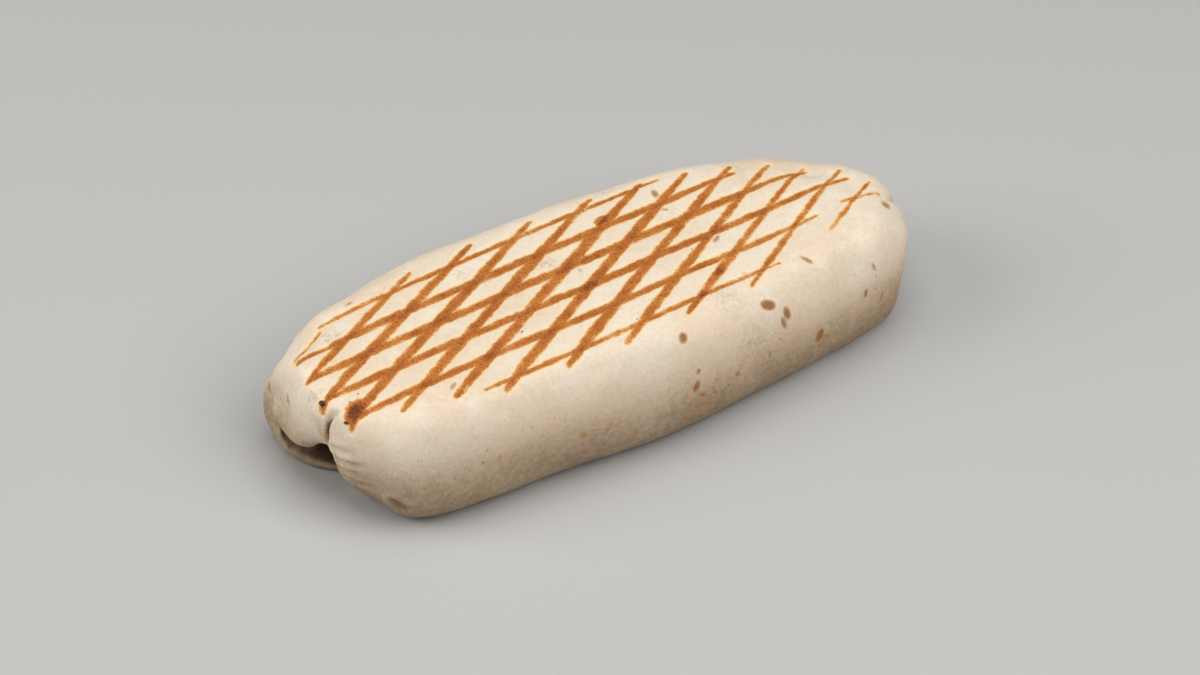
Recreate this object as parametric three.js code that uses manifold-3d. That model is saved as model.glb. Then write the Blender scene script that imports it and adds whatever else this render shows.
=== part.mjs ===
// A grilled burrito: a filled flour tortilla, rolled, pressed flat on a ribbed grill, at rest on its base.
// Millimetres, +Z up. X runs along the roll, the plain front wall faces -Y, and the origin is at the bottom
// middle of the burrito's box. The -X end shows its folds: the top layer is tucked down as a rounded nose
// between the front flap and the bottom layer, which stands open below it as a lip. The +X end is shut.
// The roll, the nose and the end layer are pillows: rings that follow a plan outline, with a foot, a rounded
// wall and a pressed top. manifold-3d joins them, and cuts the open pocket and the far end's tuck.
import * as THREE from "three";
import { mergeVertices } from "three/addons/utils/BufferGeometryUtils.js";
import Module from "manifold-3d";

const wasm = await Module();
wasm.setup();

// ---- driving dimensions -------------------------------------------------------------------------------
const PRESSED_HEIGHT = 40; // height of the pressed top at the edge of its flat
const CROWN = 0.5; // how much the middle of the top stands above that
const NOSE_HEIGHT = 40.1; // top of the nose, level with the pressed top
const END_HEIGHT = 24; // top of the end layer, hidden under the nose

// How the wall runs at one place of an outline: how far in from the outline the top and the foot begin, how
// square the foot's curve is (2 is an ellipse, less is flatter), and the heights of the top's edge, of the
// widest line and of the foot.
const SIDE = { topRun: 13, footRun: 9.5, footRound: 2, top: PRESSED_HEIGHT, widest: 14, foot: 0 };
const BACK = { ...SIDE, topRun: 18, footRun: 9, widest: 13 };
const BACK_TURN = { topRun: 21, footRun: 11, footRound: 1.9, top: 39.3, widest: 16, foot: 0 };
const FAR_CORNER = { topRun: 12, footRun: 5, footRound: 1.7, top: 39.7, widest: 15, foot: 0 };
const FAR_END = { topRun: 17, footRun: 19, footRound: 1.25, top: 38.8, widest: 25, foot: 0 };
const FAR_BACK = { topRun: 21, footRun: 13, footRound: 1.8, top: 38, widest: 19, foot: 0 };
const UNDER_NOSE = { topRun: 12, footRun: 9, footRound: 2, top: 38.8, widest: 16, foot: 0 };
const FLAP = { topRun: 6, footRun: 15, footRound: 1.45, top: 39.7, widest: 28, foot: 0 };
const FLAP_CORNER = { topRun: 9.5, footRun: 14.5, footRound: 1.45, top: 39.7, widest: 22, foot: 0 };
const NEAR_CORNER = { topRun: 13, footRun: 10.5, footRound: 1.8, top: 39.8, widest: 15.5, foot: 0 };

// Plan outline of the roll, anticlockwise from the near left corner: x, y and how the wall runs there.
const ROLL = [
  [-91.8, -38.5, NEAR_CORNER],
  [-76, -42.2, SIDE],
  [-38.5, -43.4, SIDE],
  [3.5, -45.9, SIDE],
  [43.5, -41.6, SIDE],
  [77.5, -36.6, SIDE],
  [91.2, -31.8, FAR_CORNER],
  [99.2, -24.6, FAR_END],
  [104.4, -13, FAR_END],
  [107.2, -0.5, FAR_END],
  [102, 11.6, FAR_END],
  [94.8, 23, FAR_BACK],
  [84.5, 31.8, FAR_BACK],
  [71.5, 36.8, BACK_TURN],
  [47.6, 43.2, BACK],
  [11.5, 46.8, BACK],
  [-25.5, 46.3, BACK],
  [-48.5, 45.4, BACK],
  [-73.6, 39.2, BACK],
  [-88.3, 34, UNDER_NOSE],
  [-95.5, 27.5, UNDER_NOSE],
  [-100, 16, UNDER_NOSE],
  [-99.4, -3, FLAP],
  [-104.9, -14.6, FLAP],
  [-105, -22.3, FLAP],
  [-98.6, -31.5, FLAP_CORNER],
];

// The nose, which is higher underneath where it meets the front flap.
const NOSE_TIP = { topRun: 8, footRun: 9, footRound: 2, top: 39.5, widest: 23, foot: 9.5 };
const NOSE_TURN = { topRun: 6, footRun: 10, footRound: 2, top: 39.7, widest: 27, foot: 12 };
const NOSE_TUCK = { topRun: 5.5, footRun: 10, footRound: 2, top: 39.8, widest: 30, foot: 19.5 };
const NOSE_ROOT = { topRun: 12, footRun: 9, footRound: 2, top: 39.2, widest: 21.5, foot: 12.5 };
const NOSE_BACK = { topRun: 18, footRun: 9, footRound: 2, top: 38.7, widest: 21.5, foot: 11.5 };
const NOSE = [
  [-108.6, 4, NOSE_TIP],
  [-108.9, -3.6, NOSE_TURN],
  [-107.6, -12, NOSE_TUCK],
  [-102, -18, NOSE_TUCK],
  [-80, -22, NOSE_ROOT],
  [-62, -12, NOSE_ROOT],
  [-60, 14, NOSE_ROOT],
  [-72, 30, NOSE_ROOT],
  [-90.2, 33, NOSE_BACK],
  [-101.4, 25, NOSE_BACK],
  [-107.2, 20.3, NOSE_BACK],
  [-107.9, 11.5, NOSE_TIP],
];

// The end layer: a low lip in front that rises towards the back and closes round the nose there.
const LIP = { topRun: 2.5, footRun: 3, footRound: 2, top: 5.5, widest: 2.7, foot: 0 };
const LIP_RISE = { topRun: 2.5, footRun: 4, footRound: 2, top: 9.5, widest: 4.3, foot: 0 };
const LIP_SIDE = { topRun: 3.5, footRun: 5.5, footRound: 2, top: 17, widest: 7.5, foot: 0 };
const LIP_BACK = { topRun: 4.2, footRun: 6.5, footRound: 2, top: END_HEIGHT, widest: 12, foot: 0 };
const BURIED = { topRun: 8, footRun: 8, footRound: 2, top: END_HEIGHT - 2, widest: 12, foot: 0 };
const END = [
  [-108.3, 10.6, LIP_SIDE],
  [-105.8, 7.2, LIP_RISE],
  [-102.7, 2.9, LIP],
  [-98.4, -1.4, LIP],
  [-93.9, -5.7, LIP],
  [-82.7, -14.5, LIP],
  [-72, 5, BURIED],
  [-71.5, 30, BURIED],
  [-83, 38, BURIED],
  [-97.4, 31.7, LIP_BACK],
  [-107.8, 25.2, LIP_BACK],
  [-108.7, 17.5, LIP_BACK],
  [-108.7, 14, LIP_SIDE],
];

// The pocket between nose and lip: its section across the roll (y, z), and how far it runs along x.
const POCKET_SECTION = [
  [-8.5, 4.0],
  [0.0, 3.4],
  [6.0, 4.6],
  [11.0, 8.0],
  [14.6, 13.5],
  [16.6, 20.0],
  [16.4, 27.0],
  [12.0, 34.0],
  [-6.0, 34.0],
  [-9.5, 16.0],
];
const POCKET_BACK = -90;
const POCKET_MOUTH = -125;

// The far end's tuck: a groove round the turned-in top layer, along these points of the end's surface.
const TUCK_RADIUS = 1.9;
const TUCK_LINE = [
  [96.5, -12.5, 37.4],
  [101.8, -11, 33.5],
  [105.2, -9, 28.5],
  [106, -6, 23],
  [104.2, 0, 18.5],
  [101, 7, 17],
  [98.6, 14, 18],
  [96.2, 20, 21.5],
  [91.6, 24, 27],
  [84, 26, 33],
];

// How finely the surfaces are divided.
const INNER_RING = 0.14; // the innermost ring, as a share of the reach from the spine
const TUCK_STEPS = 48;
const TUCK_SIDES = 10;
const POCKET_SIDES = 43;

// ---- shape functions ----------------------------------------------------------------------------------
// A closed smooth curve through an outline's rows, in even steps, with the wall's numbers carried along it.
function outlineStations(rows, count) {
  const through = (pick) =>
    new THREE.CatmullRomCurve3(rows.map((row) => new THREE.Vector3(...pick(row))), true, "centripetal");
  const place = through(([x, y]) => [x, y, 0]);
  const runs = through(([, , wall]) => [wall.topRun, wall.footRun, wall.footRound]);
  const heights = through(([, , wall]) => [wall.top, wall.widest, wall.foot]);
  place.arcLengthDivisions = 20 * rows.length;
  return Array.from({ length: count }, (_, i) => {
    const t = place.getUtoTmapping(i / count);
    const { x, y } = place.getPoint(t);
    const { x: topRun, y: footRun, z: footRound } = runs.getPoint(t);
    const { x: top, y: widest, z: foot } = heights.getPoint(t);
    return { x, y, topRun, footRun, footRound, top, widest, foot };
  });
}

// Each station's nearest point on the spine, and its direction and reach from there.
function measureFromSpine(station, spine) {
  const sx = THREE.MathUtils.clamp(station.x, spine.from, spine.to);
  const reach = Math.hypot(station.x - sx, station.y - spine.y);
  return { ...station, sx, reach, ex: (station.x - sx) / reach, ey: (station.y - spine.y) / reach };
}

// The profile of a pillow, from the middle of the base round to the middle of the top, as functions that give
// the distance from the spine and the height at a station.
function pillowProfile(middleHeight, round, rings) {
  const profile = [];
  for (let k = 0; k < rings.base; k++) {
    const t = INNER_RING + ((1 - INNER_RING) * k) / rings.base;
    profile.push((s) => [(s.reach - s.footRun) * t, s.foot]);
  }
  for (let k = 0; k < rings.foot; k++) {
    const a = (Math.PI * k) / (2 * rings.foot);
    profile.push((s) => [
      s.reach - s.footRun * (1 - Math.sin(a) ** (2 / s.footRound)),
      s.foot + (s.widest - s.foot) * (1 - Math.cos(a) ** (2 / s.footRound)),
    ]);
  }
  for (let k = 0; k < rings.wall; k++) {
    const a = (Math.PI * k) / (2 * rings.wall);
    profile.push((s) => [
      s.reach - s.topRun * (1 - Math.cos(a) ** (2 / round)),
      s.widest + (s.top - s.widest) * Math.sin(a) ** (2 / round),
    ]);
  }
  for (let k = 0; k <= rings.top; k++) {
    const t = 1 - ((1 - INNER_RING) * k) / rings.top;
    profile.push((s) => [(s.reach - s.topRun) * t, middleHeight + (s.top - middleHeight) * t * t]);
  }
  return profile;
}

// A closed body: one ring of stations for each point of the profile, with a fan over the first and the last.
function pillow({ outline, count, spine, middleHeight, round, rings }) {
  const stations = outlineStations(outline, count).map((s) => measureFromSpine(s, spine));
  const profile = pillowProfile(middleHeight, round, rings);
  const position = [];
  const index = [];
  for (const at of profile)
    for (const s of stations) {
      const [r, z] = at(s);
      position.push(s.sx + s.ex * r, spine.y + s.ey * r, z);
    }
  const next = (i) => (i + 1) % count;
  const lastRing = (profile.length - 1) * count;
  for (let ring = 0; ring < lastRing; ring += count)
    for (let i = 0; i < count; i++) {
      const a = ring + i;
      const b = ring + next(i);
      index.push(a, b, b + count, a, b + count, a + count);
    }
  for (const ring of [0, lastRing]) {
    const middle = position.length / 3;
    const ringPoints = position.slice(3 * ring, 3 * (ring + count));
    for (let axis = 0; axis < 3; axis++)
      position.push(ringPoints.filter((_, i) => i % 3 === axis).reduce((sum, v) => sum + v, 0) / count);
    for (let i = 0; i < count; i++) {
      if (ring === 0) index.push(middle, ring + next(i), ring + i);
      else index.push(middle, ring + i, ring + next(i));
    }
  }
  const geometry = new THREE.BufferGeometry();
  geometry.setAttribute("position", new THREE.Float32BufferAttribute(position, 3));
  geometry.setIndex(index);
  return geometry;
}

// A round rod along a smooth line.
function rod(points, radius) {
  const stops = points.map((p) => new THREE.Vector3(...p));
  const line = new THREE.CatmullRomCurve3(stops, false, "centripetal");
  const circle = new THREE.Shape().absarc(0, 0, radius, 0, 2 * Math.PI, false);
  return new THREE.ExtrudeGeometry(circle, {
    steps: TUCK_STEPS, curveSegments: TUCK_SIDES / 2, extrudePath: line, bevelEnabled: false,
  });
}

// A straight bar along x, with a smooth section given as y and z.
function barAlongX(section, from, to) {
  const corners = section.map(([y, z]) => new THREE.Vector3(y, z, 0));
  const loop = new THREE.CatmullRomCurve3(corners, true, "centripetal");
  const around = loop.getSpacedPoints(POCKET_SIDES).slice(0, -1).map((p) => new THREE.Vector2(p.x, p.y));
  const outline = new THREE.Shape(around);
  const bar = new THREE.ExtrudeGeometry(outline, { depth: to - from, steps: 1, bevelEnabled: false });
  const turn = new THREE.Matrix4().makeBasis(
    new THREE.Vector3(0, 1, 0), new THREE.Vector3(0, 0, 1), new THREE.Vector3(1, 0, 0));
  return bar.applyMatrix4(turn).translate(from, 0, 0);
}

function toSolid(geometry) {
  const bare = geometry.clone();
  bare.deleteAttribute("normal");
  bare.deleteAttribute("uv");
  const merged = mergeVertices(bare, 1e-4);
  return new wasm.Manifold(new wasm.Mesh({
    numProp: 3,
    vertProperties: new Float32Array(merged.attributes.position.array),
    triVerts: new Uint32Array(merged.index.array),
  }));
}

function toGeometry(solid) {
  const { vertProperties, triVerts } = solid.getMesh();
  const geometry = new THREE.BufferGeometry();
  geometry.setAttribute("position", new THREE.Float32BufferAttribute(vertProperties, 3));
  geometry.setIndex(Array.from(triVerts));
  geometry.computeVertexNormals();
  return geometry;
}

// ---- the burrito --------------------------------------------------------------------------------------
const makeRoll = () => toSolid(pillow({
  outline: ROLL,
  count: 132,
  spine: { from: -80, to: 76, y: 0 },
  middleHeight: PRESSED_HEIGHT + CROWN,
  round: 2.2,
  rings: { base: 2, foot: 6, wall: 9, top: 4 },
}));

const makeNose = () => toSolid(pillow({
  outline: NOSE,
  count: 64,
  spine: { from: -90, to: -72, y: 7 },
  middleHeight: NOSE_HEIGHT,
  round: 2,
  rings: { base: 2, foot: 5, wall: 8, top: 3 },
}));

const makeEndLayer = () => toSolid(pillow({
  outline: END,
  count: 72,
  spine: { from: -93, to: -84, y: 13 },
  middleHeight: END_HEIGHT,
  round: 2,
  rings: { base: 2, foot: 4, wall: 5, top: 2 },
}));

// The whole burrito as one body, moved so that the origin is at the bottom middle of its box.
function makeBurrito() {
  const pocket = toSolid(barAlongX(POCKET_SECTION, POCKET_MOUTH, POCKET_BACK));
  const tuck = toSolid(rod(TUCK_LINE, TUCK_RADIUS));
  const whole = makeRoll().add(makeEndLayer()).subtract(pocket).add(makeNose()).subtract(tuck);
  const geometry = toGeometry(whole);
  geometry.computeBoundingBox();
  const middle = geometry.boundingBox.getCenter(new THREE.Vector3());
  geometry.translate(-middle.x, -middle.y, -geometry.boundingBox.min.z);
  const tortilla = new THREE.MeshStandardMaterial({ color: 0xe6d6bb, roughness: 0.75, metalness: 0 });
  const burrito = new THREE.Mesh(geometry, tortilla);
  burrito.name = "burrito";
  return burrito;
}

const part = new THREE.Group();
part.add(makeBurrito());
export default part;
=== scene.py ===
"""The finished look of a grilled burrito over its CAD frame, and the small studio that it is shown in."""
import math

import bmesh
import bpy
import numpy as np
from bpy.props import FloatProperty, FloatVectorProperty, IntProperty, PointerProperty
from mathutils import Euler, Matrix, Vector, noise
from mathutils.bvhtree import BVHTree


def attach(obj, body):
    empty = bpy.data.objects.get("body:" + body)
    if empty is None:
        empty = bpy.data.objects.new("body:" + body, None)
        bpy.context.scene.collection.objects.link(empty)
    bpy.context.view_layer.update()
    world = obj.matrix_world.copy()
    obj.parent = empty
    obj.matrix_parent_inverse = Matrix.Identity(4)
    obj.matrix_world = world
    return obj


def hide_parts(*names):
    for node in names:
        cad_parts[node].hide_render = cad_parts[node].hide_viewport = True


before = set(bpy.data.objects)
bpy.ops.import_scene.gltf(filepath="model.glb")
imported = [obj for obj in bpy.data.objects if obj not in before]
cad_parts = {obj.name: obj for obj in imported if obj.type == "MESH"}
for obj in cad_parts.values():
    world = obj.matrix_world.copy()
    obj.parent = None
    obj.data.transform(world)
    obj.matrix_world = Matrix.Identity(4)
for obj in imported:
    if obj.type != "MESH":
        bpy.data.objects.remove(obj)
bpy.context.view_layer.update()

bl_info = {
    "name": "Grilled Burrito",
    "version": (1, 0, 0),
    "blender": (4, 5, 0),
    "location": "View3D > Sidebar > Burrito",
    "description": "Makes a rolled flour tortilla with crossed grill marks, its char flakes and its studio",
    "category": "Add Mesh",
}

MM = 0.001
BODY = "root"
NODE = "burrito"

# ---- where things are on the burrito, in mm in the CAD frame ------------------------------------------
# The ribs of the grill left two sets of marks on the pressed top. In plan each set is a slight fan of lines:
# where rib 0 crosses a middle line, the step from rib to rib, the slope of rib 0 and its change from rib to
# rib. A mark is given by its rib, the x of its two ends, its full width, and how strongly it browned, from 0
# to 1. A rib's number isn't whole where its mark lies off the even spacing. The last crosswise mark is the
# short, broad one that burnt at the edge of the near end.
LENGTHWISE = {
    "first": (0, 26.3), "step": (0, -11.25), "slope": 0.072, "turn": -0.004,
    "marks": [
        (0, -88, 39, 1.9, 0.76),
        (1, -102, 62, 3.2, 0.8),
        (1.94, -104, 83, 3.5, 0.8),
        (2.93, -105, 92, 3.1, 0.76),
        (3.96, -100, 71, 2.7, 0.7),
        (3.8, 82, 98, 1.8, 0.6),
        (5, -61, 48, 1.8, 0.66),
    ],
}
CROSSWISE = {
    "first": (-100, 0), "step": (20.7, 0), "slope": 0.58, "turn": 0.005,
    "marks": [
        (-0.95, -102, -89, 1.5, 0.74),
        (0, -104, -52, 2.7, 0.9),
        (0.91, -105, -29, 3.2, 0.95),
        (1.95, -101, -7, 3.3, 0.97),
        (3, -86, 15, 3.4, 0.95),
        (4, -70, 33, 3.6, 0.93),
        (5, -55, 49, 3.5, 0.88),
        (6.02, -33, 63, 3.4, 0.9),
        (7, -13, 74, 3.1, 0.86),
        (7.95, 10, 84, 2.8, 0.82),
        (8.98, 34, 93, 2.5, 0.76),
        (9.95, 70, 98, 1.9, 0.6),
        (1.81, -100.4, -95.2, 6.4, 1.0),
    ],
}
MARK_WANDER, WANDER_LENGTH = 0.5, 40  # how far the marks stray from straight, and over what length
MARK_UNEVENNESS, UNEVEN_LENGTH = 0.16, 14  # the share by which a mark's width varies, and over what length
START_TAPER, END_TAPER = 16, 30  # lengths over which a mark narrows to its two ends
TIP_WIDTH, TIP_STRENGTH = 0.38, 0.8  # the width and the browning at a mark's very ends, as shares
FAR_FADE = 0.42  # how much fainter the marks are at the far end, where the grill pressed less
FADE_STRETCH = 0, 95  # the x over which they fade
UNMARKED = -9.0  # stands for a place that is far outside every mark
# The heights, and then the upward facings of the skin, where the marks start and where they are full.
MARKED_HEIGHTS = 30, 35
MARKED_FACINGS = 0.1, 0.35
# How far inside a mark's edge the skin starts to sink, and where it is fully pressed in.
PRESSED_EDGE = -1.6, 0.4

# Places that browned on their own, and one of painted shade: middle, the way the spot is long, its length and
# width, and how far it browned, from 0 to 1. Charred spots are given in the same way.
TOASTED_AND_SHADED_SPOTS = [
    ((36.3, -38.4, 35.1), (0.9, 0.1, -0.6), 4.4, 2.3, 0.85),
    ((4.0, -40.2, 36.9), (0.5, 0.2, 1.0), 2.8, 2.1, 0.72),
    ((54.7, -40.8, 17.2), (0.5, 0.0, 1.0), 3.3, 2.2, 0.95),
    ((56.2, -30.7, 39.5), (0.5, -0.85, -0.15), 4.6, 1.3, 0.6),
    ((42.5, -39.9, 30.4), (-0.2, 0.1, 1.0), 3.6, 1.8, 0.75),
    ((40.8, -41.0, 27.9), (-0.2, 0.1, 1.0), 3.6, 1.5, 0.6),
    ((95.5, -17.5, 37.1), (0.4, 0.2, 0.8), 3.6, 2.8, 0.52),
    ((74.7, -37.3, 23.3), (0.3, 0.0, 1.0), 2.8, 1.1, 0.7),
    ((82.1, -36.0, 17.9), (0.1, 0.0, 1.0), 2.6, 1.1, 0.6),
    ((79.1, -34.7, 29.8), (-0.3, 0.0, 1.0), 4.0, 1.0, 0.55),
    ((5.8, -46.0, 21.0), (0.5, 0.0, 1.0), 3.0, 1.8, 0.75),
    ((8.0, -46.2, 17.0), (-1.0, 0.0, 0.7), 3.4, 1.2, 0.6),
    ((7.7, -46.2, 13.2), (1.0, 0.0, 0.25), 3.4, 1.1, 0.55),
    ((2.0, -46.1, 10.4), (0.2, 0.0, 1.0), 2.4, 1.5, 0.5),
    ((6.9, -45.2, 25.9), (0.2, 0.0, 1.0), 1.8, 1.4, 0.55),
    ((21.5, -45.0, 18.6), (0.3, 0.0, 1.0), 1.8, 1.6, 0.55),
    ((-33.7, -44.0, 17.9), (0.3, 0.0, 1.0), 2.6, 2.2, 0.45),
    ((-62.0, -43.1, 20.9), (0.2, 0.0, 1.0), 2.8, 1.6, 0.38),
    ((-66.3, -43.2, 11.5), (1.0, 0.0, 0.1), 3.2, 1.5, 0.4),
    ((-107.2, 5.2, 28.4), (0.1, 0.6, 1.0), 3.4, 1.6, 0.5),
    ((-106.2, 21.6, 21.8), (0.1, 0.6, 1.0), 4.2, 2.0, 0.6),
    ((-106.8, 17.8, 19.6), (0.1, 0.6, 1.0), 4.2, 1.4, 0.5),
    # Painted shade: the warm brown where the nose's flank turns under.
    ((-104.6, -14.0, 29.5), (0.0, 0.4, 1.0), 8.0, 3.6, 0.36),
    ((-94.7, 25.7, 31.2), (0.4, 0.7, 0.6), 2.4, 1.2, 0.55),
    ((-68.4, -27.2, 40.1), (1.0, 0.8, 0.0), 3.0, 1.2, 0.5),
    ((-75.6, 24.0, 39.0), (1.0, 0.2, 0.0), 2.6, 1.3, 0.45),
    ((-48.6, 27.0, 39.0), (0.4, 1.0, 0.0), 4.2, 0.9, 0.4),
    ((33.6, 22.0, 40.0), (0.2, 1.0, 0.0), 4.0, 1.8, 0.6),
    ((31.4, 14.0, 40.0), (1.0, -0.8, 0.0), 3.2, 1.1, 0.6),
    ((37.0, -8.0, 40.0), (0.8, 0.6, 0.0), 3.4, 1.6, 0.6),
    ((35.2, -27.0, 39.0), (0.3, -1.0, 0.0), 3.2, 1.6, 0.65),
    ((-7.4, -21.0, 40.0), (0.8, -0.8, 0.0), 3.4, 1.0, 0.5),
    ((-7.6, 0.5, 40.0), (0.2, 1.0, 0.0), 2.6, 1.2, 0.45),
]
CHARRED_SPOTS = [
    ((-97.9, -20.9, 39.6), (0.8, 0.5, 0.0), 7.0, 4.6, 0.8),
    ((11.6, 19.4, 40.3), (1.0, 0.3, 0.0), 4.4, 2.6, 0.95),
    ((-8.0, -7.2, 40.4), (1.0, 0.4, 0.0), 5.0, 3.0, 0.55),
    ((-21.0, -7.4, 40.4), (1.0, 0.4, 0.0), 5.0, 3.0, 0.5),
    ((29.0, -22.0, 40.2), (1.0, 0.5, 0.0), 4.0, 2.4, 0.6),
    ((19.0, -28.6, 39.8), (1.0, 0.5, 0.0), 3.0, 1.8, 0.7),
]
# A spot is even out to the first of these, in half sizes from its middle, and gone at the second.
SPOT_FULL, SPOT_GONE = 0.75, 2.0
# Thin places where the filling shows faintly through the dough, greyish, and one of painted shade under the
# nose: middle, radius and strength.
DAMP_AND_SHADE_SPOTS = [
    ((-87.6, 13.0, 39.4), 4.6, 0.9),
    ((-104.6, -8.0, 38.4), 4.2, 0.8),
    ((-14.6, 9.3, 40.3), 4.2, 1.0),
    ((-66.0, 21.0, 39.0), 5.0, 0.5),
    ((-70.0, -6.5, 40.2), 3.6, 0.4),
    ((-40.0, 17.0, 40.2), 3.6, 0.45),
    ((-30.0, -12.0, 40.2), 3.4, 0.35),
    ((26.0, 3.0, 40.3), 4.0, 0.5),
    ((46.0, 12.0, 40.1), 3.2, 0.4),
    ((64.0, 22.0, 38.0), 6.0, 0.7),
    ((82.0, 22.0, 35.0), 7.0, 0.5),
    ((28.0, -42.6, 27.0), 6.5, 0.75),
    ((33.0, -43.2, 20.0), 6.0, 0.7),
    ((24.0, -33.0, 38.0), 7.0, 0.55),
    ((-94.0, 2.0, 39.4), 4.0, 0.5),
    ((-103.0, -17.5, 37.6), 3.0, 0.4),
    # Painted shade under the nose's lower left edge.
    ((-106.4, 9.5, 17.0), 5.0, 0.9),
    ((20.0, 38.0, 36.0), 9.0, 0.5),
    ((-20.0, 39.0, 35.0), 8.0, 0.4),
]
DAMP_FULL, DAMP_GONE = 0.2, 1.3  # where a damp spot starts to fade and where it is gone, in radii
# The darkening towards the base is partly tan mottling and partly painted shade where the lower walls get
# less light.
BASE_MOTTLE_AND_SHADE_HEIGHT = 42  # the dough is darker towards its base, and not at all at this height
# Creases in the skin: the path of each, from where it is deepest to where it ends, its depth and half width.
# They follow the surface between those places. A negative depth makes a ridge.
CREASES = [
    (((-103.5, -16.6, 26.5), (-104.4, -16.3, 29.5), (-104.2, -16.1, 32.6), (-103.6, -16.5, 35.0),
      (-102.3, -18.2, 37.8), (-99.9, -20.1, 39.8)), 1.45, 0.8),
    (((-105.4, -11.4, 35.4), (-99.6, -15.6, 40.0)), -0.5, 2.2),
    (((-106.7, 12.5, 17.5), (-106.4, 7.0, 15.5), (-106.4, 1.0, 16.0), (-106.3, -5.0, 18.5)), -2.4, 3.4),
    (((-104.4, -20.3, 27.0), (-102.2, -26.0, 28.4)), 0.9, 1.0),
    (((-103.5, -20.9, 23.4), (-99.6, -30.4, 24.0)), 1.4, 1.1),
    (((-102.4, -20.0, 19.2), (-100.2, -27.0, 20.8)), 1.2, 1.0),
    (((-101.4, -19.8, 14.6), (-96.0, -31.0, 15.4)), 1.5, 1.2),
    (((-93.7, -35.2, 12.6), (-89.5, -38.4, 8.5)), 1.8, 1.2),
    (((82.0, -17.0, 39.0), (73.0, -30.0, 37.0)), 0.8, 4.5),
    (((73.0, -30.0, 37.0), (69.0, -36.5, 27.0)), 0.6, 5.0),
    (((96.0, -24.0, 24.0), (92.0, -31.0, 12.0)), 0.7, 2.2),
    (((101.0, -14.0, 22.0), (99.5, -22.0, 9.0)), 0.6, 2.2),
    (((101.0, 14.0, 24.0), (97.0, 22.0, 11.0)), 0.8, 2.2),
    (((-97.0, 30.0, 22.0), (-88.0, 35.5, 18.0)), 0.8, 1.8),
    (((-99.0, 28.0, 13.0), (-90.0, 34.0, 9.0)), 0.8, 1.8),
]
CREASE_STEPS = 8  # how many short lines stand for each stretch of a path
# The skin swells beside a crease: how high, as a share of its depth, and how far out, in half widths.
SWELL_HEIGHT, SWELL_PLACE = 0.4, 2.1
# Loose burnt crumbs of dough: place and size.
CHAR_FLAKES = [
    ((-104.3, -12.3, 38.2), 2.9),
    ((-101.9, -22.7, 37.3), 1.9),
    ((-94.0, -15.8, 40.0), 0.8),
    ((-97.7, -17.6, 39.8), 0.8),
    ((-99.5, 9.1, 39.4), 0.6),
    ((-38.2, -16.2, 40.4), 1.1),
    ((-5.1, -28.6, 40.1), 0.8),
    ((27.8, -8.4, 40.5), 0.7),
    ((19.2, -27.4, 40.1), 0.7),
    ((-67.0, 6.8, 40.3), 0.5),
]
# A crumb is a low lump with this many corners round its rim and as many round its top. Its width and how far
# it stands off the skin are shares of its length, and its top is a share of its rim. The corners' least and
# most distance from its middle and height are drawn as shares too.
FLAKE_CORNERS = 9
FLAKE_WIDTH, FLAKE_LIFT, FLAKE_TOP = 0.75, 0.06, 0.7
FLAKE_RADII = 0.65, 1.0
FLAKE_HEIGHTS = 0.12, 0.22
FLAKE_SEED = 5
# Spots drawn by chance, on the walls that face roughly this way and stand above this height: their least and
# most length, width as a share of that, and strength.
HIDDEN_SPOT_COUNT = 24
HIDDEN_SPOT_WAY = (0.5, 0.8, -0.3)
HIDDEN_SPOT_FACING = 0.35
HIDDEN_SPOT_HEIGHT = 5
HIDDEN_SPOT_LENGTHS = 1.6, 5.0
HIDDEN_SPOT_WIDTHS = 0.4, 0.8
HIDDEN_SPOT_STRENGTHS = 0.3, 0.75
HIDDEN_SPOT_SEED = 11

# Where the folds of the two ends are, by the lowest and highest corners of each, and how crisp they stay
# when the skin is softened, from 0 to 1.
NEAR_FOLDS = (-112, -24, 0), (-90, 34, 33)
NEAR_CREASE = (-112, -22, 20), (-101, -11, 41)
FAR_FOLDS = (90, -16, 12), (112, 30, 39)
CRISPNESS = [(NEAR_FOLDS, 0.82), (NEAR_CREASE, 0.93), (FAR_FOLDS, 0.82)]
CRISP_FADE = 4  # how far outside its box a crispness is gone
# How far a point moves in one pass of softening, as a share of the way to its neighbours' middle: where the
# dough is plain, and where it is fully crisp.
PLAIN_SOFTNESS, CRISP_SOFTNESS = 0.5, 0.02
# A valley of this depth across one mesh cell is the start of a fold, and of this depth fully one.
FOLD_FAINT, FOLD_FULL = 0.012, 0.05
FOLD_SPREAD, FOLD_FALL = 4, 0.9  # how many cells a fold spreads over, and the share left after each
# The lumps of the filling: their size, seed and height as a share of the lumps setting, and how much of that
# height is left where the skin faces straight up.
LUMPS = [(30, 3, 1.0, 0.25), (12, 4, 0.4, 0.35), (4.5, 5, 0.12, 1.0)]
WALL_FACINGS = 0.55, 0.95  # the upward facings where a wall ends and where the top begins
BASE_HEIGHTS = 0.4, 5  # the skin keeps the base's shape up to the first height and is free at the second
# How many ways each point of the near end's folds looks for cover, from how far off the skin, and how far.
SHELTER_RAYS = 20
SHELTER_START = 0.3
SHELTER_REACH = 30
SHELTER_SEED = 3

# The camera looks down on the near left corner. Its angles are in degrees and its distances in mm.
CAMERA_AIM = (-6.23, -9.3, 20.0)
CAMERA_DISTANCE = 1023.0
CAMERA_AZIMUTH = -32.0
CAMERA_ELEVATION = 39.0
CAMERA_ROLL = 0.46
CAMERA_LENS = 98.94
CAMERA_SENSOR = 36.0

# The studio, in metres: where each square light stands and how wide it is, where they all point, half the
# floor's width, and how far the camera sees.
LIGHTS = {
    "overhead": ((0.0, 0.0, 1.3), 1.0),
    "side": ((-1.1, 0.4, 0.75), 0.9),
    "front": ((0.4, -0.85, 1.0), 1.0),
}
LIGHT_AIM = (0, 0, 0.02)
FLOOR_HALF = 4.0
CAMERA_REACH = 20


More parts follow.
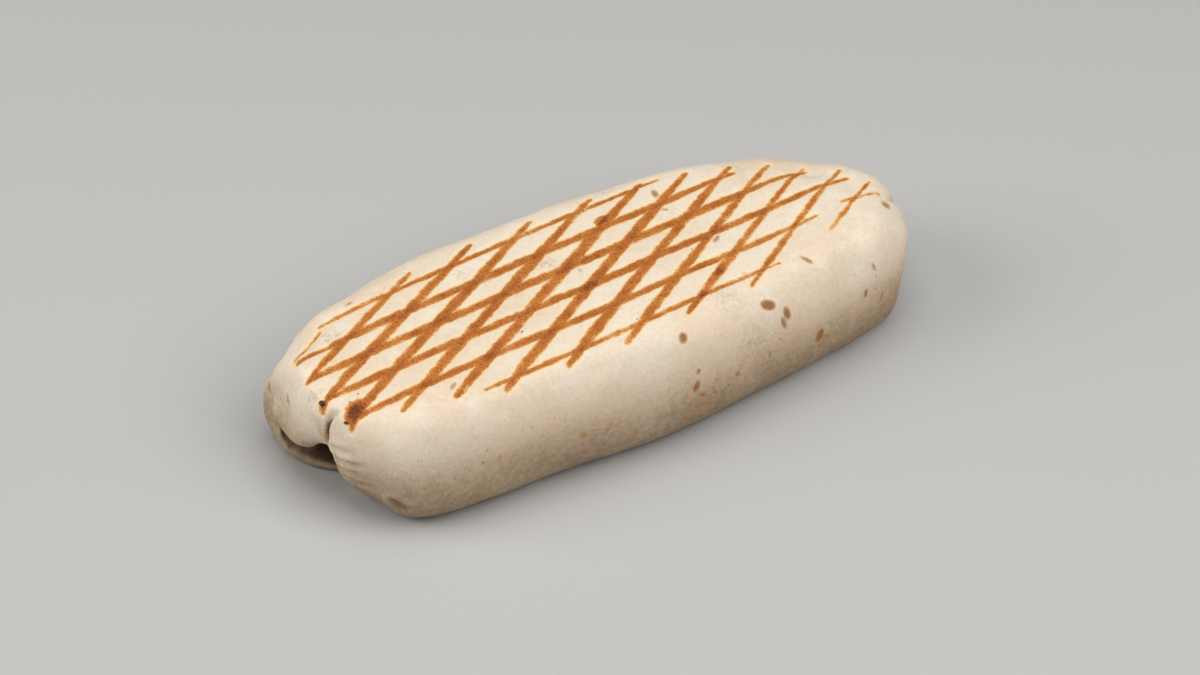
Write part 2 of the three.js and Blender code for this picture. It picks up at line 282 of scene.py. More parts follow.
# ---- small helpers --------------------------------------------------------------------------------------
def linear(hex_colour):
    """An sRGB hex colour as linear red, green, blue and alpha."""
    parts = [int(hex_colour[i:i + 2], 16) / 255 for i in (1, 3, 5)]
    return (*[c / 12.92 if c <= 0.04045 else ((c + 0.055) / 1.055) ** 2.4 for c in parts], 1.0)


def smooth_step(low, high, value):
    """0 below low, 1 above high, and a smooth rise between them."""
    t = np.clip((value - low) / (high - low), 0, 1)
    return t * t * (3 - 2 * t)


def lumps(points, size, seed):
    """Smooth noise from about -1 to 1 at each point, with bumps of this size in mm."""
    shift = Vector((17.3 * seed, 5.1 * seed, 9.7 * seed))
    return np.array([noise.noise(Vector(point) / size + shift) for point in points])


def add(tree, kind, links=None, **settings):
    """Adds a node with its settings. Each entry of links gives an input a value or another node's output."""
    node = tree.nodes.new(kind)
    for name, value in settings.items():
        setattr(node, name, value)
    for name, value in (links or {}).items():
        socket = node.inputs[name]
        if isinstance(value, bpy.types.NodeSocket):
            tree.links.new(value, socket)
        else:
            socket.default_value = value
    return node


def new_object(name, mesh):
    """Links a mesh to the scene as an object, in place of an older one of that name."""
    old = bpy.data.objects.get(name)
    if old:
        bpy.data.objects.remove(old)
    made = bpy.data.objects.new(name, mesh)
    bpy.context.scene.collection.objects.link(made)
    return made


# ---- the tortilla's surface -----------------------------------------------------------------------------
def fine_copy(node, cell):
    """An even mesh of small squares over a CAD node's surface, cell metres across."""
    copy = new_object("fine_copy", node.data.copy())
    remesh = copy.modifiers.new("even", "REMESH")
    remesh.mode = "VOXEL"
    remesh.voxel_size = cell
    evaluated = copy.evaluated_get(bpy.context.evaluated_depsgraph_get())
    mesh = bpy.data.meshes.new_from_object(evaluated)
    bpy.data.objects.remove(copy)
    mesh.materials.clear()
    return mesh


def read_points(mesh):
    """The mesh's vertices in mm."""
    flat = np.empty(3 * len(mesh.vertices))
    mesh.vertices.foreach_get("co", flat)
    return flat.reshape(-1, 3) / MM


def write_points(mesh, points):
    """Moves the mesh's vertices to these places in mm."""
    mesh.vertices.foreach_set("co", (points * MM).ravel())
    mesh.update()


def read_normals(mesh):
    """The mesh's vertex normals."""
    flat = np.empty(3 * len(mesh.vertices))
    mesh.vertex_normals.foreach_get("vector", flat)
    return flat.reshape(-1, 3)


def read_edges(mesh):
    """The pairs of vertices that the mesh's edges join."""
    flat = np.empty(2 * len(mesh.edges), dtype=np.int32)
    mesh.edges.foreach_get("vertices", flat)
    return flat.reshape(-1, 2)


def neighbour_middles(points, edges):
    """The middle of each point's neighbours."""
    one, other = edges.T
    count = len(points)
    total = np.stack([
        np.bincount(one, points[other, axis], count) + np.bincount(other, points[one, axis], count)
        for axis in range(3)
    ], axis=1)
    return total / np.bincount(edges.ravel(), minlength=count)[:, None]


def softened(points, edges, softness, passes):
    """In each pass every point moves towards the middle of its neighbours, by its own softness."""
    for _ in range(passes):
        points = points + softness[:, None] * (neighbour_middles(points, edges) - points)
    return points


def fold_field(points, normals, edges):
    """1 in the valley of a fold, where a point's neighbours stand above it, falling to 0 a few cells away."""
    above = ((neighbour_middles(points, edges) - points) * normals).sum(axis=1)
    field = smooth_step(FOLD_FAINT, FOLD_FULL, above)
    one, other = edges.T
    for _ in range(FOLD_SPREAD):
        wider = field.copy()
        np.maximum.at(wider, one, FOLD_FALL * field[other])
        np.maximum.at(wider, other, FOLD_FALL * field[one])
        field = wider
    return field


def inside_box(points, low, high, fade):
    """1 in a box, 0 outside it, and a smooth fall over fade mm round it."""
    outside = np.maximum(np.maximum(np.array(low) - points, points - np.array(high)), 0)
    return 1 - smooth_step(0, fade, np.linalg.norm(outside, axis=1))


def to_segment(points, start, end):
    """The distance from each point to a straight segment, and how far along it the nearest place is."""
    start, end = np.array(start, float), np.array(end, float)
    along = end - start
    share = np.clip((points - start) @ along / (along @ along), 0, 1)
    return np.linalg.norm(points - start - share[:, None] * along, axis=1), share


def surface_tree(mesh):
    """A tree that finds the nearest place on the mesh, and what a ray hits."""
    return BVHTree.FromPolygons([v.co for v in mesh.vertices], [p.vertices for p in mesh.polygons])


def crease_depth(points, tree):
    """How far the creases pull each point in."""
    depth = np.zeros(len(points))
    for path, deep, half_width in CREASES:
        steps = [Vector(path[0])]
        for start, end in zip(path, path[1:]):
            parts = [step / CREASE_STEPS for step in range(1, CREASE_STEPS + 1)]
            steps += [Vector(start).lerp(Vector(end), part) for part in parts]
        line = [np.array(tree.find_nearest(step * MM)[0]) / MM for step in steps]
        away = np.full(len(points), np.inf)
        run = np.zeros(len(points))
        for step in range(len(line) - 1):
            distance, along = to_segment(points, line[step], line[step + 1])
            closer = distance < away
            away[closer] = distance[closer]
            run[closer] = (step + along[closer]) / (len(line) - 1)
        valley = np.exp(-((away / half_width) ** 2))
        swell = SWELL_HEIGHT * np.exp(-(((away - SWELL_PLACE * half_width) / half_width) ** 2))
        depth += deep * (1 - run ** 3) * (valley - swell)
    return depth


# ---- browning -------------------------------------------------------------------------------------------
def mark_field(points, ribs, seed):
    """How far inside the nearest grill mark of one set each point is, in mm, and how strongly it browned."""
    flat = points * (1, 1, 0)
    uneven = lumps(flat, UNEVEN_LENGTH, seed)
    plan = points[:, :2] + MARK_WANDER * lumps(flat, WANDER_LENGTH, seed)[:, None]
    pressed = 1 - FAR_FADE * smooth_step(*FADE_STRETCH, plan[:, 0])
    inside = np.full(len(points), UNMARKED)
    strength = np.zeros(len(points))
    for rib, start, end, width, browning in ribs["marks"]:
        x, y = np.array(ribs["first"]) + rib * np.array(ribs["step"])
        slope = ribs["slope"] + rib * ribs["turn"]
        ends = [(at, y + slope * (at - x)) for at in (start, end)]
        away, share = to_segment(plan, *ends)
        length = math.dist(*ends)
        taper = np.minimum(share * length / START_TAPER, (1 - share) * length / END_TAPER)
        taper = np.sqrt(np.clip(taper, 0, 1))
        # The width follows the pressure half as closely as the browning does.
        full = 0.5 * width * (1 + pressed) / 2 * (1 + MARK_UNEVENNESS * uneven)
        half = full * (TIP_WIDTH + (1 - TIP_WIDTH) * taper)
        deeper = half - away > inside
        inside[deeper] = (half - away)[deeper]
        strength[deeper] = (browning * (TIP_STRENGTH + (1 - TIP_STRENGTH) * taper) * pressed)[deeper]
    return inside, strength


def spot_field(points, spots):
    """How far inside the nearest browned spot each point is: its strength in the middle and less outward."""
    field = np.zeros(len(points))
    for middle, way, length, width, strength in spots:
        way = np.array(way, float) / np.linalg.norm(way)
        offset = points - np.array(middle)
        along = offset @ way
        across = np.linalg.norm(offset - along[:, None] * way, axis=1)
        away = np.hypot(2 * along / length, 2 * across / width)
        field = np.maximum(field, strength * np.clip((SPOT_GONE - away) / (SPOT_GONE - SPOT_FULL), 0, 1))
    return field


def hidden_spots(points, normals):
    """Browned spots on what faces backwards and down, drawn by chance with a fixed seed."""
    draw = np.random.default_rng(HIDDEN_SPOT_SEED)
    facing = normals @ HIDDEN_SPOT_WAY > HIDDEN_SPOT_FACING
    hidden = np.flatnonzero(facing & (points[:, 2] > HIDDEN_SPOT_HEIGHT))
    spots = []
    for place in draw.choice(hidden, HIDDEN_SPOT_COUNT, replace=False):
        way = np.cross(normals[place], draw.normal(size=3))
        length = draw.uniform(*HIDDEN_SPOT_LENGTHS)
        width = length * draw.uniform(*HIDDEN_SPOT_WIDTHS)
        spots.append((points[place], way, length, width, draw.uniform(*HIDDEN_SPOT_STRENGTHS)))
    return spots


def damp_field(points):
    """How thin and damp the dough is round the damp spots, and the painted shade under the nose."""
    field = np.zeros(len(points))
    for middle, radius, strength in DAMP_AND_SHADE_SPOTS:
        away = np.linalg.norm(points - np.array(middle), axis=1) / radius
        field = np.maximum(field, strength * (1 - smooth_step(DAMP_FULL, DAMP_GONE, away)))
    return field


def shelter_field(points, normals, tree):
    """How closed in each point of the near end's folds is, from 0 in the open to 1 deep inside."""
    draw = np.random.default_rng(SHELTER_SEED)
    ways = draw.normal(size=(SHELTER_RAYS, 3))
    ways /= np.linalg.norm(ways, axis=1)[:, None]
    field = np.zeros(len(points))
    boxed = inside_box(points, *NEAR_FOLDS, 1) + inside_box(points, *NEAR_CREASE, 1)
    for place in np.flatnonzero(boxed > 0):
        outward = normals[place]
        origin = Vector((points[place] + SHELTER_START * outward) * MM)
        facing = [way if way @ outward > 0 else -way for way in ways]
        hits = sum(tree.ray_cast(origin, Vector(way), SHELTER_REACH * MM)[0] is not None for way in facing)
        field[place] = hits / SHELTER_RAYS
    return field


def save_field(mesh, name, values):
    """Keeps a number for each vertex under a name that the material reads."""
    layer = mesh.attributes.new(name, "FLOAT", "POINT")
    layer.data.foreach_set("value", values.astype(np.float32))


def make_tortilla(shape, marks):
    """The tortilla's mesh: an even copy of the CAD surface, softened, then pressed, creased and lumpy."""
    mesh = fine_copy(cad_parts[NODE], shape.cell)
    edges = read_edges(mesh)
    points = read_points(mesh)
    boxes = [level * inside_box(points, *box, CRISP_FADE) for box, level in CRISPNESS]
    crisp = np.maximum(np.max(boxes, axis=0), fold_field(points, read_normals(mesh), edges))
    softness = PLAIN_SOFTNESS + (CRISP_SOFTNESS - PLAIN_SOFTNESS) * crisp
    points = softened(points, edges, softness, shape.passes)
    write_points(mesh, points)
    normals = read_normals(mesh)

    lengthwise, lengthwise_heat = mark_field(points, LENGTHWISE, 1)
    crosswise, crosswise_heat = mark_field(points, CROSSWISE, 2)
    marked = smooth_step(*MARKED_HEIGHTS, points[:, 2]) * smooth_step(*MARKED_FACINGS, normals[:, 2])
    lengthwise = lengthwise * marked + UNMARKED * (1 - marked)
    crosswise = crosswise * marked + UNMARKED * (1 - marked)
    pressed = marks.depth / MM * smooth_step(*PRESSED_EDGE, np.maximum(lengthwise, crosswise))

    on_top = smooth_step(*WALL_FACINGS, normals[:, 2])
    above_base = smooth_step(*BASE_HEIGHTS, points[:, 2])
    bulge = np.zeros(len(points))
    for size, seed, height, left_on_top in LUMPS:
        level = shape.lumps / MM * height * (1 - (1 - left_on_top) * on_top)
        bulge += level * lumps(points, size, seed)
    shift = above_base * (bulge - crease_depth(points, surface_tree(mesh))) - pressed
    points = points + shift[:, None] * normals
    points[:, 2] = np.maximum(points[:, 2], 0)
    write_points(mesh, points)
    normals = read_normals(mesh)

    save_field(mesh, "lengthwise", lengthwise)
    save_field(mesh, "crosswise", crosswise)
    save_field(mesh, "heat", np.where(lengthwise > crosswise, lengthwise_heat, crosswise_heat))
    # The toasted spots, with one of painted shade on the nose's flank.
    spots = TOASTED_AND_SHADED_SPOTS + hidden_spots(points, normals)
    save_field(mesh, "toasted", spot_field(points, spots))
    save_field(mesh, "charred", spot_field(points, CHARRED_SPOTS))
    save_field(mesh, "damp", damp_field(points))
    # Lowness, for the darkening towards the base: partly tan mottling, partly painted shade.
    save_field(mesh, "low", 1 - smooth_step(0, BASE_MOTTLE_AND_SHADE_HEIGHT, points[:, 2]))
    # How closed in each point is, which the material turns into painted shade in the folds.
    save_field(mesh, "shelter", shelter_field(points, normals, surface_tree(mesh)))
    mesh.polygons.foreach_set("use_smooth", np.ones(len(mesh.polygons), dtype=bool))
    mesh.update()
    return mesh


# ---- materials ------------------------------------------------------------------------------------------
MIX_FACTOR, MIX_A, MIX_B, MIX_RESULT = 0, 6, 7, 2  # a colour Mix node's sockets
SKIN_RELIEF = 0.1  # height of the skin's fine bumps, in mm
GRAIN_SPACING = 3.2  # how far apart the scorched grains of flour are, in mm
# The cloudy patterns in the dough: name, size in mm, detail and roughness. Real flour grains are too fine to
# show, so the flour pattern is drawn about five times as coarse.
PATTERNS = [
    ("broad", 34, 2.0, 0.5),
    ("clouds", 8, 4.0, 0.6),
    ("stains", 13, 3.0, 0.6),
    ("patches", 7, 3.0, 0.55),
    ("flecks", 1.9, 4.0, 0.65),
    ("mottle", 1.6, 4.0, 0.7),
    ("edge", 3.0, 1.0, 0.5),
    ("torn", 1.3, 4.0, 0.7),
    ("grain", 0.7, 3.0, 0.75),
    ("flour", 0.55, 2.0, 0.5),
]


def per_metre(size):
    """The scale that gives a pattern this size in mm."""
    return 1000 / size


def empty_material(name):
    """A new material with no nodes yet, and its node tree."""
    material = bpy.data.materials.new(name)
    material.use_nodes = True
    material.node_tree.nodes.clear()
    return material, material.node_tree


def share(tree, *terms):
    """Turns values into shares and multiplies them. Each term is a value, the range that it is read over,
    and the shares at the two ends of that range if they aren't 0 and 1."""
    product = 1.0
    for value, low, high, *ends in terms:
        least, most = ends or (0.0, 1.0)
        part = add(tree, "ShaderNodeMapRange", {
            "Value": value, "From Min": low, "From Max": high, "To Min": least, "To Max": most,
        }, interpolation_type="SMOOTHSTEP")
        links = {0: product, 1: part.outputs["Result"]}
        product = add(tree, "ShaderNodeMath", links, operation="MULTIPLY").outputs["Value"]
    return product


def baked_tortilla(shape, marks):
    """Wheat-flour dough, griddled pale and then pressed on a ribbed grill: soft and matt, a little clear."""
    material, tree = empty_material("baked_wheat_tortilla")
    place = add(tree, "ShaderNodeTexCoord").outputs["Object"]
    field = {
        name: add(tree, "ShaderNodeAttribute", attribute_name=name).outputs["Fac"]
        for name in ("lengthwise", "crosswise", "heat", "toasted", "charred", "damp", "low", "shelter")
    }
    pattern = {
        name: add(tree, "ShaderNodeTexNoise", {
            "Vector": place, "Scale": per_metre(size), "Detail": detail, "Roughness": roughness,
        }).outputs["Fac"]
        for name, size, detail, roughness in PATTERNS
    }
    # Scorched grains of flour: one near the middle of each cell, in some of the cells.
    cells = add(tree, "ShaderNodeTexVoronoi", {"Vector": place, "Scale": per_metre(GRAIN_SPACING)})
    grains = share(tree, (cells.outputs["Distance"], 0.16, 0.08), (cells.outputs["Color"], 0.6, 0.64))

    # Spots have uneven edges.
    torn = share(tree, (pattern["torn"], 0.3, 0.7, -0.12, 0.12))
    toasted = add(tree, "ShaderNodeMath", {0: field["toasted"], 1: torn}, operation="ADD")
    charred = add(tree, "ShaderNodeMath", {0: field["charred"], 1: torn}, operation="ADD")

    # The dough: two creams in broad clouds and floury flecks. Towards the base it darkens with tan, grey and
    # brown mottling, partly the dough's own flecks and partly painted shade where the lower walls get less
    # light.
    # Toasted spots are light brown round a darker middle; one on the nose's flank is painted shade. Each
    # layer is a share of a colour over those before it.
    layers = [
        (share(tree, (pattern["broad"], 0.35, 0.65)), shape.warm_cream),
        (share(tree, (pattern["clouds"], 0.45, 0.72, 0.0, 0.45)), shape.pale_cream),
        (share(tree, (pattern["flour"], 0.5, 0.8, 0.0, 0.2)), shape.tan),
        (share(tree, (pattern["mottle"], 0.42, 0.68, 0.0, 0.16)), shape.tan),
        # Painted shade, partly tan mottling: these layers darken the dough towards its base.
        (share(tree, (field["low"], 0.04, 0.75, 0.04, 0.92), (pattern["clouds"], 0.3, 0.7, 0.72, 1.0),
               (pattern["flecks"], 0.34, 0.66, 0.7, 1.0)), shape.tan),
        (share(tree, (field["low"], 0.3, 1.0, 0.0, 0.85), (pattern["stains"], 0.34, 0.62, 0.65, 1.0),
               (pattern["flecks"], 0.3, 0.7, 0.72, 1.0)), shape.damp),
        (share(tree, (field["low"], 0.06, 0.5, 0.0, 0.5), (pattern["grain"], 0.52, 0.68),
               (pattern["clouds"], 0.35, 0.65, 0.3, 1.0)), shape.fleck),
        (share(tree, (field["damp"], 0.0, 1.0, 0.0, 0.5), (pattern["mottle"], 0.3, 0.75)), shape.damp),
        (share(tree, (grains, 0.0, 1.0), (field["low"], 0.05, 0.6, 0.15, 0.8)), shape.fleck),
        (share(tree, (field["toasted"], 0.1, 0.5, 0.0, 0.7)), shape.toast),
        (share(tree, (toasted.outputs["Value"], 0.3, 0.75, 0.0, 0.95), (field["toasted"], 0.02, 0.1)),
         shape.deep_toast),
    ]
    dough = shape.cream
    for factor, tint in layers:
        links = {MIX_FACTOR: factor, MIX_A: dough, MIX_B: tint}
        dough = add(tree, "ShaderNodeMix", links, data_type="RGBA").outputs[MIX_RESULT]

    # Browning runs from 0 for raw dough to 1 for char. A mark's edge wanders and is a little grainy. A warm
    # halo lies round it, and it is darkest where two marks cross.
    ragged = share(tree, (pattern["edge"], 0.3, 0.7, -0.2, 0.2))
    fine = share(tree, (pattern["grain"], 0.3, 0.7, -0.1, 0.1))
    two = {0: field["lengthwise"], 1: field["crosswise"]}
    nearest = add(tree, "ShaderNodeMath", two, operation="MAXIMUM")
    inside = nearest.outputs["Value"]
    for wander in (ragged, fine):
        inside = add(tree, "ShaderNodeMath", {0: inside, 1: wander}, operation="ADD").outputs["Value"]
    both = add(tree, "ShaderNodeMath", two, operation="MINIMUM")
    marked = 0.0
    for part in (
        share(tree, (nearest.outputs["Value"], -2.4, -0.1, 0.0, 0.11)),
        share(tree, (inside, -0.9, 0.8), (field["heat"], 0.4, 1.0, 0.24, 0.56)),
        share(tree, (inside, 0.3, 1.5, 0.0, 0.07)),
        share(tree, (both.outputs["Value"], -0.2, 1.0), (field["heat"], 0.5, 1.0, 0.1, 0.28)),
        share(tree, (pattern["grain"], 0.44, 0.62, -0.03, 0.2), (inside, -0.3, 0.7)),
        share(tree, (pattern["patches"], 0.3, 0.7, -0.06, 0.13), (inside, -0.3, 0.5)),
    ):
        marked = add(tree, "ShaderNodeMath", {0: marked, 1: part}, operation="ADD").outputs["Value"]

    # Where something scorched, it is darker still.
    scorch = share(tree, (charred.outputs["Value"], 0.14, 0.95, 0.0, 0.34), (field["charred"], 0.02, 0.1))
    browning = add(tree, "ShaderNodeMath", {0: marked, 1: scorch}, operation="ADD").outputs["Value"]
    browned = add(tree, "ShaderNodeValToRGB", {"Fac": browning})
    ramp = browned.color_ramp.elements
    stops = [
        (0.0, marks.golden), (0.14, marks.golden), (0.32, marks.orange), (0.56, marks.brown),
        (0.78, marks.dark), (1.0, marks.char),
    ]
    while len(ramp) < len(stops):
        ramp.new(0.5)
    for stop, (level, tint) in zip(ramp, stops):
        stop.position = level
        stop.color = tint
    baked = add(tree, "ShaderNodeMix", {
        MIX_FACTOR: share(tree, (browning, 0.02, 0.22)), MIX_A: dough, MIX_B: browned.outputs["Color"],
    }, data_type="RGBA")
    # Deep in the folds, as far as each point is closed in, the dough is darkened to dark brown: painted
    # shade, with the dough there taken as soaked.
    colour = add(tree, "ShaderNodeMix", {
        MIX_FACTOR: share(tree, (field["shelter"], 0.3, 0.62, 0.0, 0.94)),
        MIX_A: baked.outputs[MIX_RESULT], MIX_B: shape.soaked_and_shaded,
    }, data_type="RGBA")

    # The skin: powdery and slightly blistered, drier and rougher where it browned.
    crust = share(tree, (pattern["grain"], 0.2, 0.8), (inside, -0.2, 0.5))
    height = 0.0
    for part in (pattern["flecks"], pattern["flour"], crust):
        height = add(tree, "ShaderNodeMath", {0: height, 1: part}, operation="ADD").outputs["Value"]
    bump = add(tree, "ShaderNodeBump", {"Height": height, "Distance": SKIN_RELIEF * MM, "Strength": 0.7})
    shader = add(tree, "ShaderNodeBsdfPrincipled", {
        "Base Color": colour.outputs[MIX_RESULT], "Normal": bump.outputs["Normal"], "IOR": 1.45,
        "Specular IOR Level": 0.3,
        "Roughness": share(tree, (browning, 0.1, 0.7, 0.62, 0.74)),
        "Subsurface Weight": 0.15, "Subsurface Radius": (1.0, 0.6, 0.35), "Subsurface Scale": 1.6 * MM,
    })
    add(tree, "ShaderNodeOutputMaterial", {"Surface": shader.outputs["BSDF"]})
    return material


def char_crumb():
    """Burnt dough: near black, dry and dull, with a faintly brown grain."""
    material, tree = empty_material("burnt_dough")
    place = add(tree, "ShaderNodeTexCoord").outputs["Object"]
    grain = add(tree, "ShaderNodeTexNoise", {"Vector": place, "Scale": per_metre(0.5), "Detail": 3.0})
    colour = add(tree, "ShaderNodeMix", {
        MIX_FACTOR: grain.outputs["Fac"], MIX_A: linear("#2A1A14"), MIX_B: linear("#5A3A2C"),
    }, data_type="RGBA")
    bump = add(tree, "ShaderNodeBump", {"Height": grain.outputs["Fac"], "Distance": 0.15 * MM})
    shader = add(tree, "ShaderNodeBsdfPrincipled", {
        "Base Color": colour.outputs[MIX_RESULT], "Roughness": 0.8, "IOR": 1.5,
        "Normal": bump.outputs["Normal"],
    })
    add(tree, "ShaderNodeOutputMaterial", {"Surface": shader.outputs["BSDF"]})
    return material


def plain_paper(colour):
    """Matt backdrop paper, even in colour, which takes soft shadows."""
    material = bpy.data.materials.new("backdrop_paper")
    material.use_nodes = True
    shader = material.node_tree.nodes["Principled BSDF"]
    shader.inputs["Base Color"].default_value = colour
    shader.inputs["Roughness"].default_value = 0.9
    return material


# ---- settings -------------------------------------------------------------------------------------------
def colour_setting(name, description, hex_colour):
    """A colour that can be picked in the panel."""
    return FloatVectorProperty(
        name=name, description=description, default=linear(hex_colour),
        size=4, min=0, max=1, subtype="COLOR")


def length_setting(name, description, default, least, most):
    """A length given in mm here and kept in metres."""
    return FloatProperty(
        name=name, description=description, default=default * MM, min=least * MM, max=most * MM,
        precision=5, subtype="DISTANCE", unit="LENGTH")


def power_setting(name, description, default):
    """A light's power in watts."""
    return FloatProperty(
        name=name, description=description, default=default, min=0, subtype="POWER", unit="POWER")


class TortillaSettings(bpy.types.PropertyGroup):
    """Sizes and colours of the tortilla."""

    cell: length_setting("Mesh cell", "Width of one square of the tortilla's mesh", 0.78, 0.5, 4)
    passes: IntProperty(
        name="Softening", description="How many times the tortilla's surface is softened",
        default=34, min=0, max=120)
    lumps: length_setting("Lumps", "How far the filling pushes the tortilla out and in", 0.9, 0, 4)
    cream: colour_setting("Cream", "Main colour of the dough", "#E9DAC5")
    warm_cream: colour_setting("Warm cream", "Colour of the warmer clouds in the dough", "#E5D1B8")
    pale_cream: colour_setting("Pale cream", "Colour of the floury clouds in the dough", "#F2E8D6")
    tan: colour_setting("Tan", "Colour of the flecks in the dough towards its base", "#B89873")
    # This colour also paints shade towards the base and under the nose.
    damp: colour_setting("Damp dough", "Colour of thin places that the filling shows through", "#877058")
    fleck: colour_setting("Fleck", "Colour of the tiny scorched grains", "#86603C")
    toast: colour_setting("Toast", "Colour of the edge of a toasted spot", "#B98B5A")
    deep_toast: colour_setting("Deep toast", "Colour of the middle of a toasted spot", "#99683A")
    # Painted shade deep in the folds, with the dough there taken as soaked.
    soaked_and_shaded: colour_setting("Soaked dough", "Colour of the dough deep in the folds", "#4A3322")


class GrillMarkSettings(bpy.types.PropertyGroup):
    """Depth and colours of the grill marks."""

    depth: length_setting("Depth", "How deep the grill's ribs pressed into the tortilla", 0.35, 0, 2)
    golden: colour_setting("Golden", "Colour of the pale edge of a grill mark", "#EFD3A0")
    orange: colour_setting("Light brown", "Colour of lightly browned dough", "#C67F38")
    brown: colour_setting("Brown", "Colour in the middle of a grill mark", "#A85E26")
    dark: colour_setting("Dark brown", "Colour where two grill marks cross", "#7E411B")
    char: colour_setting("Char", "Colour of scorched dough", "#4A2815")


class StudioSettings(bpy.types.PropertyGroup):
    """The backdrop and the lights."""

    backdrop: colour_setting("Backdrop", "Colour of the floor", "#B8B7B4")
    overhead: power_setting("Overhead light", "Power of the large light straight above", 8.1)
    side: power_setting("Side light", "Power of the large light on the left", 10.4)
    front: power_setting("Front light", "Power of the large light high in front", 11.4)
    sky_colour: colour_setting("Sky colour", "Colour of the light from all round", "#F4F6FA")
    sky: FloatProperty(
        name="Surrounding light", description="Strength of the light from all round",
        default=0.1, min=0, max=5, subtype="FACTOR")


# ---- pieces ---------------------------------------------------------------------------------------------
class BURRITO_OT_tortilla(bpy.types.Operator):
    """Make the tortilla, with its folds, grill marks and toasted spots"""

    bl_idname = "burrito.tortilla"
    bl_label = "Tortilla"
    bl_options = {"REGISTER", "UNDO"}

    def execute(self, context):
        shape = context.scene.burrito_tortilla
        marks = context.scene.burrito_marks
        piece = new_object("tortilla", make_tortilla(shape, marks))
        piece.data.materials.append(baked_tortilla(shape, marks))
        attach(piece, BODY)
        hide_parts(NODE)
        return {"FINISHED"}


class BURRITO_OT_flakes(bpy.types.Operator):
    """Make the burnt crumbs that lie on the tortilla"""

    bl_idname = "burrito.flakes"
    bl_label = "Char flakes"
    bl_options = {"REGISTER", "UNDO"}

    def execute(self, context):
        carrier = bpy.data.objects.get("tortilla")
        if carrier is None:
            raise RuntimeError("make the tortilla first: the char flakes lie on it")
        draw = np.random.default_rng(FLAKE_SEED)
        made = bmesh.new()
        for place, size in CHAR_FLAKES:
            _, touch, outward, _ = carrier.closest_point_on_mesh(Vector(place) * MM)
            turn = outward.to_track_quat("Z", "Y").to_matrix().to_4x4()
            lie = Matrix.Translation(touch + outward * FLAKE_LIFT * size * MM) @ turn
            corners = []
            for angle in np.sort(draw.uniform(0, 2 * math.pi, FLAKE_CORNERS)):
                radius = 0.5 * size * draw.uniform(*FLAKE_RADII)
                rim = Vector((radius * math.cos(angle), FLAKE_WIDTH * radius * math.sin(angle), 0))
                corners.append(made.verts.new(lie @ (rim * MM)))
                top = Vector((FLAKE_TOP * rim.x, FLAKE_TOP * rim.y, size * draw.uniform(*FLAKE_HEIGHTS)))
                corners.append(made.verts.new(lie @ (top * MM)))
            hull = bmesh.ops.convex_hull(made, input=corners)
            loose = [v for v in hull["geom_interior"] if isinstance(v, bmesh.types.BMVert)]
            bmesh.ops.delete(made, geom=loose, context="VERTS")
        bmesh.ops.recalc_face_normals(made, faces=made.faces)
        mesh = bpy.data.meshes.new("char_flakes")
        made.to_mesh(mesh)
        made.free()
        piece = new_object("char_flakes", mesh)
        piece.data.materials.append(char_crumb())
        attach(piece, BODY)
        return {"FINISHED"}


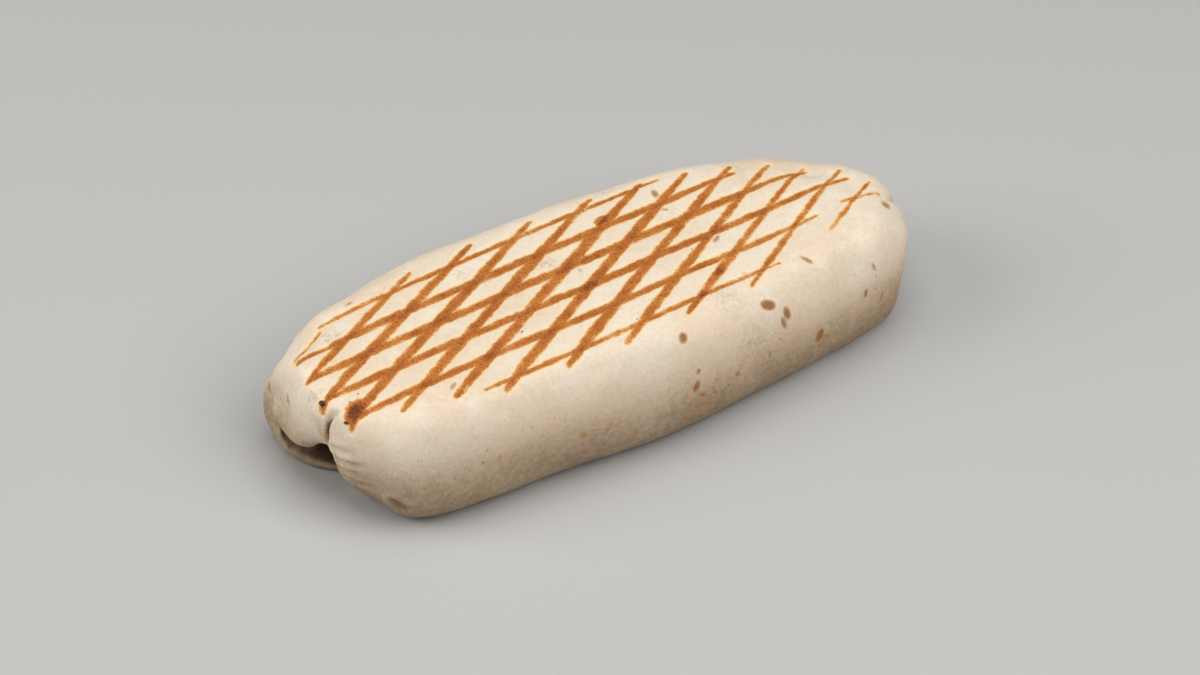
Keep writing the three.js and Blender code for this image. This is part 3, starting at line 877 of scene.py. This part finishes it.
class BURRITO_OT_studio(bpy.types.Operator):
    """Make the backdrop, the lights and the camera"""

    bl_idname = "burrito.studio"
    bl_label = "Studio"
    bl_options = {"REGISTER", "UNDO"}

    def execute(self, context):
        studio = context.scene.burrito_studio
        mesh = bpy.data.meshes.new("floor")
        corners = [(FLOOR_HALF * x, FLOOR_HALF * y, 0) for x, y in ((-1, -1), (1, -1), (1, 1), (-1, 1))]
        mesh.from_pydata(corners, [], [(0, 1, 2, 3)])
        floor = new_object("floor", mesh)
        floor.data.materials.append(plain_paper(studio.backdrop))

        for name, (place, size) in LIGHTS.items():
            lamp = bpy.data.lights.new(name, "AREA")
            lamp.shape = "SQUARE"
            lamp.size = size
            lamp.energy = getattr(studio, name)
            holder = bpy.data.objects.new(name, lamp)
            holder.location = place
            way = Vector(LIGHT_AIM) - Vector(place)
            holder.rotation_euler = way.to_track_quat("-Z", "Y").to_euler()
            context.scene.collection.objects.link(holder)

        world = bpy.data.worlds.new("studio")
        world.use_nodes = True
        sky = world.node_tree.nodes["Background"]
        sky.inputs["Color"].default_value = studio.sky_colour
        sky.inputs["Strength"].default_value = studio.sky
        context.scene.world = world

        azimuth, elevation = math.radians(CAMERA_AZIMUTH), math.radians(CAMERA_ELEVATION)
        lens = bpy.data.cameras.new("camera")
        lens.lens = CAMERA_LENS
        lens.sensor_width = CAMERA_SENSOR
        lens.clip_end = CAMERA_REACH
        camera = bpy.data.objects.new("camera", lens)
        way = Vector((math.sin(azimuth) * math.cos(elevation), -math.cos(azimuth) * math.cos(elevation),
                      math.sin(elevation)))
        camera.location = (Vector(CAMERA_AIM) + way * CAMERA_DISTANCE) * MM
        level = (-way).to_track_quat("-Z", "Y").to_matrix()
        roll = Euler((0, 0, math.radians(CAMERA_ROLL))).to_matrix()
        camera.rotation_euler = (level @ roll).to_euler()
        context.scene.collection.objects.link(camera)
        context.scene.camera = camera
        context.scene.view_settings.view_transform = "Standard"
        return {"FINISHED"}


class BURRITO_PT_panel(bpy.types.Panel):
    """The burrito's settings and pieces"""

    bl_idname = "BURRITO_PT_panel"
    bl_label = "Grilled Burrito"
    bl_space_type = "VIEW_3D"
    bl_region_type = "UI"
    bl_category = "Burrito"

    def draw(self, context):
        groups = [
            (context.scene.burrito_tortilla, "burrito.tortilla"),
            (context.scene.burrito_marks, "burrito.flakes"),
            (context.scene.burrito_studio, "burrito.studio"),
        ]
        for settings, operator in groups:
            box = self.layout.box()
            for name in settings.__annotations__:
                box.prop(settings, name)
            box.operator(operator)


CLASSES = (
    TortillaSettings, GrillMarkSettings, StudioSettings,
    BURRITO_OT_tortilla, BURRITO_OT_flakes, BURRITO_OT_studio, BURRITO_PT_panel,
)


def register():
    """Makes the settings, the operators and the panel known to Blender."""
    for item in CLASSES:
        bpy.utils.register_class(item)
    bpy.types.Scene.burrito_tortilla = PointerProperty(type=TortillaSettings)
    bpy.types.Scene.burrito_marks = PointerProperty(type=GrillMarkSettings)
    bpy.types.Scene.burrito_studio = PointerProperty(type=StudioSettings)


def unregister():
    """Takes away what register added."""
    del bpy.types.Scene.burrito_studio
    del bpy.types.Scene.burrito_marks
    del bpy.types.Scene.burrito_tortilla
    for item in reversed(CLASSES):
        bpy.utils.unregister_class(item)


def main():
    """Makes every piece and the studio."""
    register()
    bpy.ops.burrito.tortilla()
    bpy.ops.burrito.flakes()
    bpy.ops.burrito.studio()


if __name__ == "__main__":
    main()
